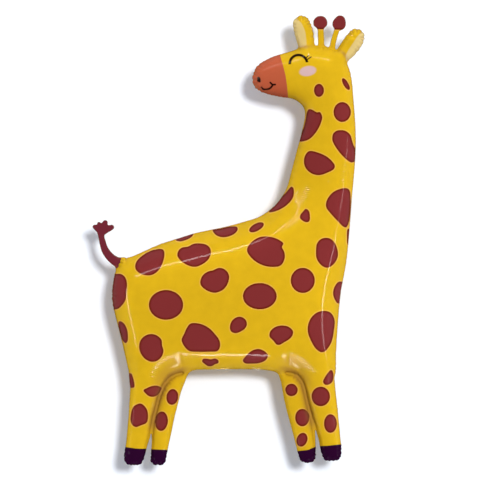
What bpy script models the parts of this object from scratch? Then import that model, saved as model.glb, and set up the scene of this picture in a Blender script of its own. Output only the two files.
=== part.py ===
"""A giraffe-shaped foil balloon, filled with gas and lying on its back with the printed side up.

Two sheets of thin film are cut to one outline and welded together all round, and the gas bulges them
into a pillow. The tail and the two horns are flat film that holds no gas. The legs of a pair share one
pocket that a short weld parts from the hooves upwards. In metres, +Z up: the seam lies level, the head
is towards +Y and the face looks to -X.
"""
import bpy
import numpy as np
from mathutils.geometry import delaunay_2d_cdt

# Driving dimensions, in metres
HEIGHT = 1.02             # from the lowest hoof tip to the top of the ears
SEAM_WIDTH = 0.003        # flat welded rim outside the gas
FILM_THICKNESS = 0.0012   # both films with their weld, in the rim, the tail and the horns
LEG_WELD_WIDTH = 0.006    # weld between the two legs of a pair
REST_DEPTH = 0.009        # how far the underside is pressed flat where it rests

# How round the film swells
FULLNESS = 0.79           # 1 would swell a long tube to a full circle

# How finely the form is worked out and faceted, as counts along the height
GRID_CELLS = 400
FACETS = 85

# Distances between corners, in facets
SAG = 0.035               # most that a chord may cut a curve by
LONGEST_EDGE = 1.2        # along the rim
FIRST_STEP = 0.25         # from the rim of the gas to the next loop of corners
PATCH_STEP = 1.25         # round the flat spot
NET_STEP = 2.0            # in the net that fills the middle

# Rings of corners between the rim and the net, as (how deep, how far apart) in facets
RINGS = [(0.95, 1.1), (1.75, 1.2), (2.8, 1.4), (4.0, 1.7)]

# The body's outline, as stretches of one smooth curve. Points of the figure are (across, up) in
# hundredths of the height, from the tail tuft's left end and the lowest hoof tip.
BACK = [(6.3, 46.0), (8.3, 46.2), (11.2, 47.4), (14.5, 48.9), (18.5, 50.2), (22.7, 51.5), (29.4, 52.9),
        (33.8, 54.1), (37.1, 55.2), (40.5, 57.7), (42.9, 61.2)]
THROAT = [(44.0, 64.9), (45.2, 69.5), (46.4, 73.9), (47.1, 78.2), (46.6, 79.7), (44.6, 81.2)]
MUZZLE = [(41.6, 81.7), (38.2, 82.5), (36.0, 83.7), (35.4, 85.7), (36.3, 88.4), (39.4, 90.4)]
CROWN = [(43.8, 91.8), (47.1, 92.8), (51.6, 93.0), (54.9, 91.4), (57.1, 87.5)]
NAPE = [(57.9, 81.0), (58.4, 73.3), (58.2, 66.6), (57.6, 60.0), (57.1, 53.3)]
CHEST = [(56.3, 45.1), (55.1, 38.5), (54.4, 31.2), (54.0, 24.5), (53.8, 20.1), (51.6, 16.7), (46.0, 17.8)]
BELLY = [(41.4, 20.4), (38.5, 21.1), (33.8, 21.3), (27.2, 21.2), (22.3, 21.0)]
RUMP = [(18.5, 19.0), (12.7, 16.3), (9.0, 17.2), (7.8, 21.8), (6.2, 28.7), (5.1, 32.9), (4.3, 36.7),
        (4.4, 39.4), (4.8, 42.0), (5.4, 44.2)]

# Each limb is a stroke of (across, up, half width), and a fillet that joins it to what came before
THIGHS = [
    (0.7, [(12.2, 19.4, 3.8), (11.7, 15.6, 3.4), (11.2, 13.0, 3.1)]),
    (2.0, [(17.7, 19.4, 2.9), (16.8, 15.6, 2.5), (16.2, 13.0, 2.4)]),
    (1.6, [(44.1, 19.4, 2.5), (44.8, 16.3, 2.5), (45.6, 13.2, 2.6)]),
    (0.7, [(50.2, 17.8, 3.6), (51.1, 13.4, 3.1), (51.4, 11.8, 3.0)]),
]
SHANKS = [
    (0.3, [(11.7, 15.6, 3.3), (11.1, 12.3, 3.0), (10.4, 7.9, 2.7), (9.8, 4.7, 2.4), (9.3, 2.5, 2.3)]),
    (0.3, [(16.8, 15.6, 2.5), (16.1, 12.3, 2.4), (15.4, 7.9, 2.2), (15.0, 4.7, 1.9), (14.7, 2.5, 1.8)]),
    (0.3, [(44.7, 16.3, 2.5), (45.8, 12.3, 2.7), (46.8, 7.9, 2.5), (47.6, 2.5, 2.0)]),
    (0.3, [(51.1, 13.4, 3.1), (52.0, 9.0, 2.7), (52.6, 5.7, 2.4), (52.9, 3.9, 2.4)]),
]
HOOVES = [
    (0.4, [(8.4, 1.4, 1.4), (9.9, 1.4, 1.4)]),
    (0.4, [(14.1, 1.3, 1.3), (15.0, 1.3, 1.3)]),
    (0.4, [(47.3, 1.8, 1.2), (48.3, 1.9, 1.2)]),
    (0.4, [(52.3, 2.3, 1.4), (53.8, 2.4, 1.4)]),
]
EARS = [
    (0.7, [(47.5, 91.9, 1.5), (47.3, 93.9, 1.9), (46.8, 96.3, 2.1), (46.4, 97.8, 2.0)]),
    (0.7, [(55.1, 90.5, 1.6), (56.2, 91.8, 1.9), (57.4, 93.3, 2.1), (58.4, 94.9, 2.0)]),
]
HORNS = [
    (0.4, [(50.8, 91.7, 0.7), (50.7, 94.3, 0.7), (50.6, 96.8, 0.7)]),
    (0.2, [(50.5, 98.2, 1.5), (50.6, 98.2, 1.5)]),
    (0.4, [(53.0, 91.7, 0.7), (53.5, 94.3, 0.6), (54.2, 96.6, 0.6)]),
    (0.2, [(54.7, 97.9, 1.5), (54.9, 98.6, 1.2)]),
]
TAIL = [
    (0.7, [(6.3, 44.6, 1.2), (4.5, 45.7, 1.0), (3.4, 46.8, 0.9), (2.6, 48.2, 0.8), (2.2, 49.7, 0.7),
           (1.9, 50.9, 0.7), (2.0, 52.0, 0.9)]),
    (0.3, [(1.8, 52.0, 0.8), (0.5, 52.9, 0.5)]),
    (0.3, [(2.0, 52.4, 0.9), (1.4, 53.6, 0.4)]),
    (0.3, [(2.3, 52.4, 0.9), (2.8, 53.8, 0.6)]),
    (0.3, [(2.5, 52.1, 0.9), (4.2, 52.8, 0.6)]),
]

# The weld between a pair of legs
LEG_WELDS = [
    [(13.1, 5.0), (13.1, 7.3), (13.5, 10.1), (14.1, 12.3), (14.9, 15.4), (15.9, 17.8), (17.4, 19.6),
     (19.9, 20.5)],
    [(49.4, 5.0), (49.2, 7.5), (48.8, 9.6), (48.1, 12.1), (47.3, 15.6), (46.7, 18.0), (45.5, 19.9),
     (43.1, 20.5)],
]

# Gathers that draw the film in: a crease from each leg weld to the corner of the belly, and soft ones
# above both weld ends and behind the neck, as (strength, half width, path)
GATHERS = [
    (26000, 0.5, [(19.9, 20.5), (21.4, 20.9)]),
    (26000, 0.5, [(43.1, 20.5), (41.8, 20.8)]),
    (2800, 2.94, [(19.4, 21.6), (18.1, 21.4), (16.7, 20.5), (16.1, 19.2)]),
    (2800, 2.94, [(43.1, 21.6), (44.4, 21.4), (45.6, 20.5), (46.2, 19.2)]),
    (1250, 2.94, [(46.7, 63.3), (46.0, 61.1), (44.5, 58.6)]),
]

FILM_COLOUR = (0.75, 0.48, 0.03, 1.0)

cell = HEIGHT / GRID_CELLS
unit = HEIGHT / 100
widest = max(x + half_width for _, stations in EARS + HORNS + HOOVES for x, _, half_width in stations)
widest = max([widest] + [x for x, _ in CROWN + NAPE + CHEST]) * unit
MARGIN = 4                # grid cells left free round the figure
across, up = np.meshgrid(np.arange(-MARGIN, widest / cell + MARGIN + 1) * cell,
                         np.arange(-MARGIN, GRID_CELLS + MARGIN + 1) * cell)


def smooth_curve(points, closed=False, steps=8):
    """Points along a smooth curve through the given ones, which may carry a width as well."""
    points = np.array(points) * unit
    if closed:
        padded = np.vstack([points[-1:], points, points[:2]])
    else:
        padded = np.vstack([2 * points[0] - points[1], points, 2 * points[-1] - points[-2]])
    curve = []
    for before, start, end, after in zip(padded, padded[1:], padded[2:], padded[3:]):
        gap_in, gap, gap_out = (max(np.hypot(*(b - a)[:2]) ** 0.5, 1e-6)
                                for a, b in ((before, start), (start, end), (end, after)))
        leave = (end - start) + gap * ((start - before) / gap_in - (end - before) / (gap_in + gap))
        arrive = (end - start) + gap * ((after - end) / gap_out - (after - start) / (gap + gap_out))
        for t in np.arange(steps) / steps:
            curve.append((2 * t ** 3 - 3 * t ** 2 + 1) * start + (t ** 3 - 2 * t ** 2 + t) * leave
                         + (3 * t ** 2 - 2 * t ** 3) * end + (t ** 3 - t ** 2) * arrive)
    if not closed:
        curve.append(points[-1])
    return np.array(curve)


def distance_to_outline(points):
    """Distance from every grid point to a closed smooth curve, negative inside it."""
    curve = smooth_curve(points, closed=True, steps=6)
    nearest = np.full(across.shape, np.inf)
    inside = np.zeros(across.shape, bool)
    for (x0, y0), (x1, y1) in zip(curve, np.roll(curve, -1, axis=0)):
        run, rise = x1 - x0, y1 - y0
        along = np.clip(((across - x0) * run + (up - y0) * rise) / (run ** 2 + rise ** 2), 0, 1)
        nearest = np.minimum(nearest, (across - x0 - along * run) ** 2 + (up - y0 - along * rise) ** 2)
        spans = (y0 > up) != (y1 > up)
        inside ^= spans & ((across - x0) * rise * np.sign(rise) < (up - y0) * run * np.sign(rise))
    return np.where(inside, -1, 1) * np.sqrt(nearest)


def distance_to_stroke(stations):
    """Distance from every grid point to a stroke whose stations are (across, up, half width)."""
    nearest = np.full(across.shape, np.inf)
    for x, y, half_width in smooth_curve(stations, steps=14):
        nearest = np.minimum(nearest, np.hypot(across - x, up - y) - half_width)
    return nearest


def add_limbs(form, limbs):
    """The form with each limb's stroke joined to it by a fillet."""
    for fillet, stations in limbs:
        limb = distance_to_stroke(stations)
        reach = fillet * unit
        overlap = np.maximum(reach - np.abs(form - limb), 0) / reach
        form = np.minimum(form, limb) - overlap ** 2 * reach / 4
    return form


def with_width(points, half_width):
    """Stations of a stroke of even width, in hundredths of the height."""
    return [(x, y, half_width / unit) for x, y in points]


def swell(gas, pull):
    """How far the film stands off the seam plane, divided by the root of the depth inside the gas.

    A film under even pressure follows the curve whose bend is the same everywhere. It is solved on the
    grid point by point, with the rim taken where it really crosses between two grid points.
    """
    nearest_rim = 0.1
    turns = 320
    over_relax = 2 / (1 + np.sin(np.pi / 150))
    inside = gas < 0
    stiff = pull * cell ** 2
    weights = []
    for axis, way in ((0, 1), (0, -1), (1, 1), (1, -1)):
        beyond = np.roll(gas, way, axis)
        share = np.clip(gas / np.where(beyond > 0, gas - beyond, 1), nearest_rim, 1)
        weights.append((axis, way, beyond < 0))
        stiff = stiff + np.where(beyond < 0, 1, 1 / share)
    film = np.zeros(gas.shape)
    rows, columns = np.indices(gas.shape)
    for turn in range(turns):
        for colour in (0, 1):
            near = sum(np.where(open_way, np.roll(film, way, axis), 0) for axis, way, open_way in weights)
            picked = inside & ((rows + columns) % 2 == colour)
            film += np.where(picked, over_relax * ((near + cell ** 2) / stiff - film), 0)
    ratio = np.where(inside, 2 * film / np.maximum(-gas, nearest_rim * cell), 0)
    known = inside.astype(float)
    for ring in range(3):
        total, count = (sum(np.roll(field, way, axis) for axis in (0, 1) for way in (1, -1))
                        for field in (ratio * known, known))
        ratio = np.where(known > 0, ratio, total / np.maximum(count, 1))
        known = np.maximum(known, np.minimum(count, 1))
    return FULLNESS * np.sqrt(np.maximum(ratio, 0))


def read_grid(field, points):
    """A grid's values at any points, by straight lines between the grid points."""
    columns, rows = points[:, 0] / cell + MARGIN, points[:, 1] / cell + MARGIN
    column, row = columns.astype(int), rows.astype(int)
    right, above = columns - column, rows - row
    low = field[row, column] * (1 - right) + field[row, column + 1] * right
    high = field[row + 1, column] * (1 - right) + field[row + 1, column + 1] * right
    return low * (1 - above) + high * above


def contour_loops(field, level):
    """Closed loops where a grid crosses a level, with the low side on their left."""
    low = field < level
    corners_low = low[:-1, :-1].astype(int) + low[:-1, 1:] + low[1:, 1:] + low[1:, :-1]
    following = {}
    for row, column in zip(*np.nonzero((corners_low > 0) & (corners_low < 4))):
        corners = [(row, column), (row, column + 1), (row + 1, column + 1), (row + 1, column)]
        leaving = [low[corners[k]] and not low[corners[k - 3]] for k in range(4)]
        entering = [low[corners[k - 3]] and not low[corners[k]] for k in range(4)]
        sides = [tuple(sorted((corners[k], corners[k - 3]))) for k in range(4)]
        for k in range(4):
            if leaving[k]:
                back = next(step for step in (1, 2, 3) if entering[k - step])
                following[sides[k]] = sides[k - back]
    loops = []
    while following:
        side, onward = following.popitem()
        loop = [side]
        while onward != side:
            loop.append(onward)
            onward = following.pop(onward)
        starts, ends = np.array(loop).transpose(1, 0, 2)
        low_end, high_end = field[tuple(starts.T)], field[tuple(ends.T)]
        share = ((level - low_end) / (high_end - low_end))[:, None]
        loops.append(((starts + share * (ends - starts))[:, ::-1] - MARGIN) * cell)
    return loops


def thin_loop(loop, sag, longest):
    """A loop with the fewest points whose chords keep within the sag and under the longest length."""
    kept = [0]
    for end in range(2, len(loop) + 1):
        start = loop[kept[-1]]
        chord = loop[end % len(loop)] - start
        length = max(np.hypot(*chord), 1e-9)
        skipped = loop[kept[-1] + 1:end] - start
        stray = np.abs(skipped[:, 0] * chord[1] - skipped[:, 1] * chord[0]) / length
        if stray.max() > sag or length > longest:
            kept.append(end - 1)
    return loop[kept]


def even_loop(loop, spacing):
    """Points spread evenly along a closed loop."""
    round_trip = np.vstack([loop, loop[:1]])
    reached = np.concatenate([[0], np.hypot(*np.diff(round_trip, axis=0).T).cumsum()])
    stops = np.linspace(0, reached[-1], max(int(reached[-1] / spacing), 1), endpoint=False)
    return np.stack([np.interp(stops, reached, round_trip[:, axis]) for axis in (0, 1)], axis=1)


def fill_points(gas, fine):
    """Points inside the gas: rings that follow the rim, then a net of equal triangles."""
    found = []
    for depth, spacing in RINGS:
        found += [even_loop(loop, spacing * fine) for loop in contour_loops(gas, -depth * fine)]
    coarse = NET_STEP * fine
    rows = np.arange(0, HEIGHT, coarse * 3 ** 0.5 / 2)
    columns = np.arange(0, widest, coarse)
    net = np.array([(x + coarse / 2 * (k % 2), y) for k, y in enumerate(rows) for x in columns])
    net_depth = RINGS[-1][0] * fine + 0.55 * coarse
    found.append(net[-read_grid(gas, net) > net_depth])
    return np.vstack(found)


def triangulate(outline, loops, points):
    """Flat triangles that fill the outline, with the loops kept as edges; the outline comes first."""
    corners, edges = [], []
    for loop in [outline] + loops:
        first = len(corners)
        corners += [tuple(point) for point in loop]
        edges += [(first + k, first + (k + 1) % len(loop)) for k in range(len(loop))]
    corners += [tuple(point) for point in points]
    places, _, faces, sources, _, _ = delaunay_2d_cdt(corners, edges, [], 1, 1e-7)
    order = sorted(range(len(places)), key=lambda k: min(sources[k], default=len(corners)))
    rank = {old: new for new, old in enumerate(order)}
    return np.array([places[k][:] for k in order]), [[rank[k] for k in face] for face in faces]


def build_film_solid(name, colour):
    """The filled balloon as one closed body, its underside flat where it rests."""
    body = distance_to_outline(BACK + THROAT + MUZZLE + CROWN + NAPE + CHEST + BELLY + RUMP)
    body = add_limbs(body, THIGHS + SHANKS + HOOVES + EARS)
    whole = add_limbs(body, HORNS + TAIL)
    gas = body + SEAM_WIDTH
    for weld in LEG_WELDS:
        gas = np.maximum(gas, -distance_to_stroke(with_width(weld, LEG_WELD_WIDTH / 2)))
    pull = np.zeros(gas.shape)
    for strength, half_width, path in GATHERS:
        aside = distance_to_stroke(with_width(path, 0)) / (half_width * unit)
        pull += strength / HEIGHT ** 2 * np.exp(-aside ** 2)
    stand_off = swell(gas, pull)

    fine = HEIGHT / FACETS
    outline = max(contour_loops(whole, 0), key=len)
    outline = thin_loop(outline, SAG * fine, LONGEST_EDGE * fine)
    rims = [thin_loop(loop, SAG * fine, LONGEST_EDGE * fine) for level in (0, -FIRST_STEP * fine)
            for loop in contour_loops(gas, level)]

    def height_at(points):
        depth = np.maximum(-read_grid(gas, points), 0)
        return FILM_THICKNESS / 2 + read_grid(stand_off, points) * np.sqrt(depth)

    inner = fill_points(gas, fine)
    rest = height_at(inner).max() - REST_DEPTH
    above = FILM_THICKNESS / 2 + stand_off * np.sqrt(np.maximum(-gas, 0))
    patch = max((even_loop(loop, PATCH_STEP * fine) for loop in contour_loops(-above, -rest)), key=len)
    clear = height_at(inner) < rest
    front, front_faces = triangulate(outline, rims, inner)
    back, back_faces = triangulate(outline, rims + [patch], inner[clear])

    heights = height_at(front)
    depths = np.minimum(height_at(back), rest)
    on_patch = np.hypot(*(back[:, None] - patch[None]).transpose(2, 0, 1)).min(axis=1) < 1e-6
    depths[on_patch] = rest
    heights[:len(outline)] = FILM_THICKNESS / 2
    depths[:len(outline)] = FILM_THICKNESS / 2
    corners = [(x, y, rest + z) for (x, y), z in zip(front, heights)]
    corners += [(x, y, rest - z) for (x, y), z in zip(back, depths)]
    below = len(front)
    faces = [tuple(face) for face in front_faces]
    faces += [tuple(below + k for k in reversed(face)) for face in back_faces]
    for k in range(len(outline)):
        after = (k + 1) % len(outline)
        faces.append((k, below + k, below + after, after))
    corners = np.array(corners)
    corners[:, :2] -= (outline.min(axis=0) + outline.max(axis=0)) / 2

    mesh = bpy.data.meshes.new(name)
    mesh.from_pydata(corners.tolist(), [], faces)
    mesh.validate()
    mesh.shade_smooth()
    mesh.materials.append(film_material(name + "_film", colour))
    solid = bpy.data.objects.new(name, mesh)
    bpy.context.scene.collection.objects.link(solid)
    return solid


def film_material(name, colour):
    """Printed metallised film: glossy, a little metallic."""
    material = bpy.data.materials.new(name)
    material.use_nodes = True
    shader = material.node_tree.nodes["Principled BSDF"]
    shader.inputs["Base Color"].default_value = colour
    shader.inputs["Roughness"].default_value = 0.22
    shader.inputs["Metallic"].default_value = 0.35
    return material


for old in list(bpy.data.objects):
    bpy.data.objects.remove(old)
build_film_solid("giraffe_balloon", FILM_COLOUR)
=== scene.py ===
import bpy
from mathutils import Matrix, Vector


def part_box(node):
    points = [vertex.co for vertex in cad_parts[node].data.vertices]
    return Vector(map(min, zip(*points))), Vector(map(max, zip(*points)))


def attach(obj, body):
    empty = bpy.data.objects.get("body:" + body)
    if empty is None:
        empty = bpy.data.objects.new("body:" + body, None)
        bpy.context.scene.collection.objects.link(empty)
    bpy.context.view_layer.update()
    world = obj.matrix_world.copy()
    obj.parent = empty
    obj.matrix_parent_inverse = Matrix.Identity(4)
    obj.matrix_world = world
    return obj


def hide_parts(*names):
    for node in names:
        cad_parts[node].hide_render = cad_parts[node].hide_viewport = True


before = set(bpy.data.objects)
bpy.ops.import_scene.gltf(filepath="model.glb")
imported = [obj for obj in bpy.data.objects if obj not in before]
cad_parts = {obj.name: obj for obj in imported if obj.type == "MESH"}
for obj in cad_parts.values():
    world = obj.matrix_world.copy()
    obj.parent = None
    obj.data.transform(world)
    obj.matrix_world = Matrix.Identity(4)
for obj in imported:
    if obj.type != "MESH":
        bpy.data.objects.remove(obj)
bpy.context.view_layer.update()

import math

import bpy
import numpy as np
from mathutils import Vector, noise
from mathutils.geometry import delaunay_2d_cdt
from mathutils.kdtree import KDTree

# Camera. The photograph looks straight down on the balloon, with its head at the top of the picture.
# A long lens is used, so the far legs are not smaller than the near ones.
LENS = 0.400
SENSOR = 0.036
VIEW_WIDTH = 1.0856           # what the picture spans at the height of the seam
VIEW_CENTRE = (0.0256, 0.0010)
scene = bpy.context.scene


def put_in_scene(name, data):
    """A new object in the scene."""
    made = bpy.data.objects.new(name, data)
    scene.collection.objects.link(made)
    return made


_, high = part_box("giraffe_balloon")
camera = put_in_scene("camera", bpy.data.cameras.new("camera"))
camera.data.lens = LENS * 1000
camera.data.sensor_width = SENSOR * 1000
camera.data.clip_start = 0.1
camera.location = (*VIEW_CENTRE, high.z / 2 + VIEW_WIDTH * LENS / SENSOR)
scene.camera = camera


# The two film sheets. Each is a nylon film with a metal layer, printed, cut to the giraffe's outline and
# heat-welded to the other along a narrow rim. Gas swells the pocket between them, and the tail and the
# horns stay flat. The outline and the welds are read off the fixed frame, so the film stays where it is.
RIM_STEP = 0.0024             # between points along the rim
RIM_RINGS = 8                 # rows of points on the steep side beside the rim
RIM_DEPTH = 0.006             # how far in the last of them lies
FRONT_STEP = 0.0032           # in the net of the front sheet
BACK_STEP = 0.0048            # in the net of the back sheet
FILM_THICKNESS = 0.0005       # both films together in the rim, crimped a little by the weld
REST_ROUNDING = 0.004         # how softly the underside turns up from the floor
GRID_STEP = 0.00255           # of the grid on which the swelling is worked out
GRID_SPAN = 150               # steps of that grid across the widest gas space, which set how fast it settles
GRID_TURNS = 320              # after which it has settled
HAND_OVER = 1.2               # grid steps from the rim, where the second grid starts to give way to the first
HAND_OVER_WIDTH = 1.6
PER_METRE = 1e5               # corners of the solid are matched in hundredths of a millimetre
LEVEL = 0.0004                # how nearly a face of the solid lies at the height of the weld

# Gathers that draw the film in: a crease from each leg weld to the corner of the belly, and soft ones
# above both weld ends and behind the neck, as (strength, half width, path)
GATHERS = [
    (25000, 0.005, [(-0.1050, -0.3000), (-0.0897, -0.2959)]),
    (25000, 0.005, [(0.1317, -0.3000), (0.1184, -0.2969)]),
    (2700, 0.030, [(-0.1101, -0.2885), (-0.1237, -0.2907), (-0.1372, -0.2998), (-0.1440, -0.3133)]),
    (2700, 0.030, [(0.1319, -0.2885), (0.1455, -0.2907), (0.1568, -0.2998), (0.1635, -0.3133)]),
    (1200, 0.030, [(0.1681, 0.1367), (0.1613, 0.1141), (0.1454, 0.0892)]),
]


def rim_loops(solid):
    """The loops that bound the flat weld on the solid's front, and the height of its middle."""
    mesh = solid.data
    points = np.array([vertex.co for vertex in mesh.vertices])
    keys = [tuple(key) for key in np.round(points[:, :2] * PER_METRE).astype(int)]
    walls = [face for face in mesh.polygons if abs(face.normal.z) < 0.01]
    wall_heights = np.array([points[k][2] for face in walls for k in face.vertices])
    middle = (wall_heights.min() + wall_heights.max()) / 2
    sides = set()
    for face in mesh.polygons:
        if np.abs(points[list(face.vertices)][:, 2] - wall_heights.max()).max() < LEVEL:
            ring = [keys[k] for k in face.vertices]
            sides |= set(zip(ring, ring[1:] + ring[:1]))
    following = dict(side for side in sides if side[::-1] not in sides)
    loops = []
    while following:
        start, onward = following.popitem()
        loop = [start]
        while onward != start:
            loop.append(onward)
            onward = following.pop(onward)
        loops.append(np.array(loop) / PER_METRE)
    return sorted(loops, key=len, reverse=True), middle


def round_trip(loop):
    """Distance travelled at each point of a closed loop, and at its start again."""
    return np.concatenate([[0], np.hypot(*np.diff(np.vstack([loop, loop[:1]]), axis=0).T).cumsum()])


def spread(loop, step):
    """A closed loop with its points spread evenly."""
    reached = round_trip(loop)
    stops = np.linspace(0, reached[-1], round(reached[-1] / step), endpoint=False)
    closed = np.vstack([loop, loop[:1]])
    return np.stack([np.interp(stops, reached, closed[:, axis]) for axis in (0, 1)], axis=1)


def smooth_round(points, steps=8):
    """A smooth closed curve through the given points."""
    points = np.asarray(points, float)
    curve = []
    for before, start, end, after in zip(np.roll(points, 1, 0), points, np.roll(points, -1, 0),
                                         np.roll(points, -2, 0)):
        gap_in, gap, gap_out = (max(np.hypot(*(b - a)) ** 0.5, 1e-6)
                                for a, b in ((before, start), (start, end), (end, after)))
        leave = (end - start) + gap * ((start - before) / gap_in - (end - before) / (gap_in + gap))
        arrive = (end - start) + gap * ((after - end) / gap_out - (after - start) / (gap + gap_out))
        for t in np.arange(steps) / steps:
            curve.append((2 * t ** 3 - 3 * t ** 2 + 1) * start + (t ** 3 - 2 * t ** 2 + t) * leave
                         + (3 * t ** 2 - 2 * t ** 3) * end + (t ** 3 - t ** 2) * arrive)
    return np.array(curve)


class Rim:
    """Closed loops with the gas on their right, and how deep in the gas any point lies."""

    def __init__(self, loops):
        self.starts = np.vstack(loops)
        self.ends = np.vstack([np.roll(loop, -1, axis=0) for loop in loops])
        run = self.ends - self.starts
        self.inward = np.stack([run[:, 1], -run[:, 0]], axis=1) / np.hypot(*run.T)[:, None]
        self.before = np.concatenate([np.roll(np.arange(len(loop)), 1) + sum(map(len, loops[:k]))
                                      for k, loop in enumerate(loops)])
        self.tree = KDTree(len(self.starts))
        for k, (x, y) in enumerate(self.starts):
            self.tree.insert((x, y, 0), k)
        self.tree.balance()

    def depth(self, points):
        """How deep in the gas each point lies, less than nothing outside it."""
        nearest = np.array([self.tree.find((x, y, 0))[1] for x, y in points])
        depth = np.full(len(points), np.inf)
        both_ways = self.inward[nearest] + self.inward[self.before[nearest]]
        for segment in (nearest, self.before[nearest]):
            start, run = self.starts[segment], self.ends[segment] - self.starts[segment]
            t = np.clip(((points - start) * run).sum(1) / np.hypot(*run.T) ** 2, 0, 1)
            gap = points - start - t[:, None] * run
            at_corner = (t == 0) | (t == 1)
            side = np.sign((gap * np.where(at_corner[:, None], both_ways, self.inward[segment])).sum(1))
            closer = np.hypot(*gap.T) < np.abs(depth)
            depth = np.where(closer, side * np.hypot(*gap.T), depth)
        return depth


def path_distance(points, path):
    """Distance from points to a path of straight lines, and how far along it the nearest place is."""
    nearest, along, travelled = np.full(len(points), np.inf), np.zeros(len(points)), 0
    for start, end in zip(path, path[1:]):
        run = end - start
        length = np.hypot(*run)
        t = np.clip(((points - start) @ run) / length ** 2, 0, 1)
        gap = np.hypot(*(points - start - t[:, None] * run).T)
        along = np.where(gap < nearest, travelled + t * length, along)
        nearest = np.minimum(gap, nearest)
        travelled += length
    return nearest, along


def swelling(depth, pull):
    """The square of the film's height on a grid, and that square divided by the depth inside the gas.

    A film under even pressure has the same bend everywhere, so the square of its height answers to
    an even load. It is worked out in turns over the grid, like a chessboard. The second grid reaches
    a little past the rim, where the first one ends, so it is the one to read close to the rim.
    """
    inside = depth > 0
    stiff = pull * GRID_STEP ** 2
    ways = []
    for axis, way in ((0, 1), (0, -1), (1, 1), (1, -1)):
        beyond = np.roll(depth, way, axis)
        share = np.clip(depth / np.where(beyond < 0, depth - beyond, 1), 0.1, 1)
        ways.append((axis, way, beyond > 0))
        stiff = stiff + np.where(beyond > 0, 1, 1 / share)
    square = np.zeros(depth.shape)
    rows, columns = np.indices(depth.shape)
    haste = 2 / (1 + math.sin(math.pi / GRID_SPAN))
    for turn in range(GRID_TURNS):
        for colour in (0, 1):
            near = sum(np.where(is_open, np.roll(square, way, axis), 0) for axis, way, is_open in ways)
            picked = inside & ((rows + columns) % 2 == colour)
            square += np.where(picked, haste * ((near + GRID_STEP ** 2) / stiff - square), 0)
    ratio = np.where(inside, square / np.maximum(depth, 0.1 * GRID_STEP), 0)
    known = inside.astype(float)
    for ring in range(4):
        total, count = (sum(np.roll(field, way, axis) for axis in (0, 1) for way in (1, -1))
                        for field in (ratio * known, known))
        ratio = np.where(known > 0, ratio, total / np.maximum(count, 1))
        known = np.maximum(known, np.minimum(count, 1))
    return square, ratio


def read_smoothly(field, points, corner):
    """A grid's values at any points, by smooth curves through four grid points each way."""
    places = (points - corner) / GRID_STEP
    whole = np.floor(places).astype(int)
    t = places - whole
    shares = [np.stack([-t ** 3 + 2 * t ** 2 - t, 3 * t ** 3 - 5 * t ** 2 + 2,
                        -3 * t ** 3 + 4 * t ** 2 + t, t ** 3 - t ** 2]) / 2][0]
    return sum(shares[j, :, 1] * shares[i, :, 0] * field[whole[:, 1] + j - 1, whole[:, 0] + i - 1]
               for j in range(4) for i in range(4))


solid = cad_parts["giraffe_balloon"]
(outline, *pockets), seam = rim_loops(solid)
outline = spread(smooth_round(outline), RIM_STEP)
pockets = [spread(smooth_round(loop), RIM_STEP) for loop in pockets]
rim = Rim([spread(loop, RIM_STEP / 2) for loop in pockets])
edge = Rim([spread(outline[::-1], RIM_STEP / 2)])

corner = outline.min(axis=0) - 5 * GRID_STEP
columns, rows = np.ceil((outline.max(axis=0) - corner) / GRID_STEP).astype(int) + 6
grid = np.stack(np.meshgrid(np.arange(columns), np.arange(rows)), axis=-1) * GRID_STEP + corner
depth_grid = rim.depth(grid.reshape(-1, 2)).reshape(rows, columns)
pull = np.zeros(rows * columns)
for strength, half_width, path in GATHERS:
    aside = path_distance(grid.reshape(-1, 2), np.array(path))[0]
    pull += strength * np.exp(-(aside / half_width) ** 2)
square_grid, ratio_grid = swelling(depth_grid, pull.reshape(rows, columns))
fullness = (high.z - seam - FILM_THICKNESS / 2) ** 2 / square_grid.max()


def inward(loop):
    """The way into the gas at each point of a loop that has the gas on its right."""
    run = np.roll(loop, -1, axis=0) - np.roll(loop, 1, axis=0)
    return np.stack([run[:, 1], -run[:, 0]], axis=1) / np.hypot(*run.T)[:, None]


def sheet_points(step):
    """Points inside the outline: rows beside the rim that climb its steep side, then an even net."""
    found = []
    for loop in pockets:
        for row in range(1, RIM_RINGS + 1):
            away = RIM_DEPTH * (row / RIM_RINGS) ** 2
            ring = loop + inward(loop) * away
            # In a sharp turn of the rim a row comes too close to another stretch of it, and has a gap there
            found.append(ring[rim.depth(ring) > 0.93 * away])
    (left, bottom), (right, top) = outline.min(axis=0), outline.max(axis=0)
    net = []
    for k, y in enumerate(np.arange(bottom, top, step * 3 ** 0.5 / 2)):
        across = np.arange(left + step / 2 * (k % 2), right, step)
        net.append(np.column_stack([across, np.full(len(across), y)]))
    net = np.vstack(net)
    gas, margin = rim.depth(net), edge.depth(net)
    keep = (gas > RIM_DEPTH + 0.4 * step) | ((gas < -0.6 * RIM_STEP) & (margin > 0.6 * RIM_STEP))
    return np.vstack(found + [net[keep]])


def triangles(points):
    """Flat triangles that fill the outline, whose own points come first."""
    corners, sides = [], []
    for loop in [outline] + pockets:
        first = len(corners)
        corners += [tuple(point) for point in loop]
        sides += [(first + k, first + (k + 1) % len(loop)) for k in range(len(loop))]
    corners += [tuple(point) for point in points]
    places, _, faces, sources, _, _ = delaunay_2d_cdt(corners, sides, [], 1, 1e-7)
    order = sorted(range(len(places)), key=lambda k: min(sources[k], default=len(corners)))
    rank = np.empty(len(order), int)
    rank[order] = np.arange(len(order))
    return np.array([places[k][:] for k in order]), rank[np.array(faces)]


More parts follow.
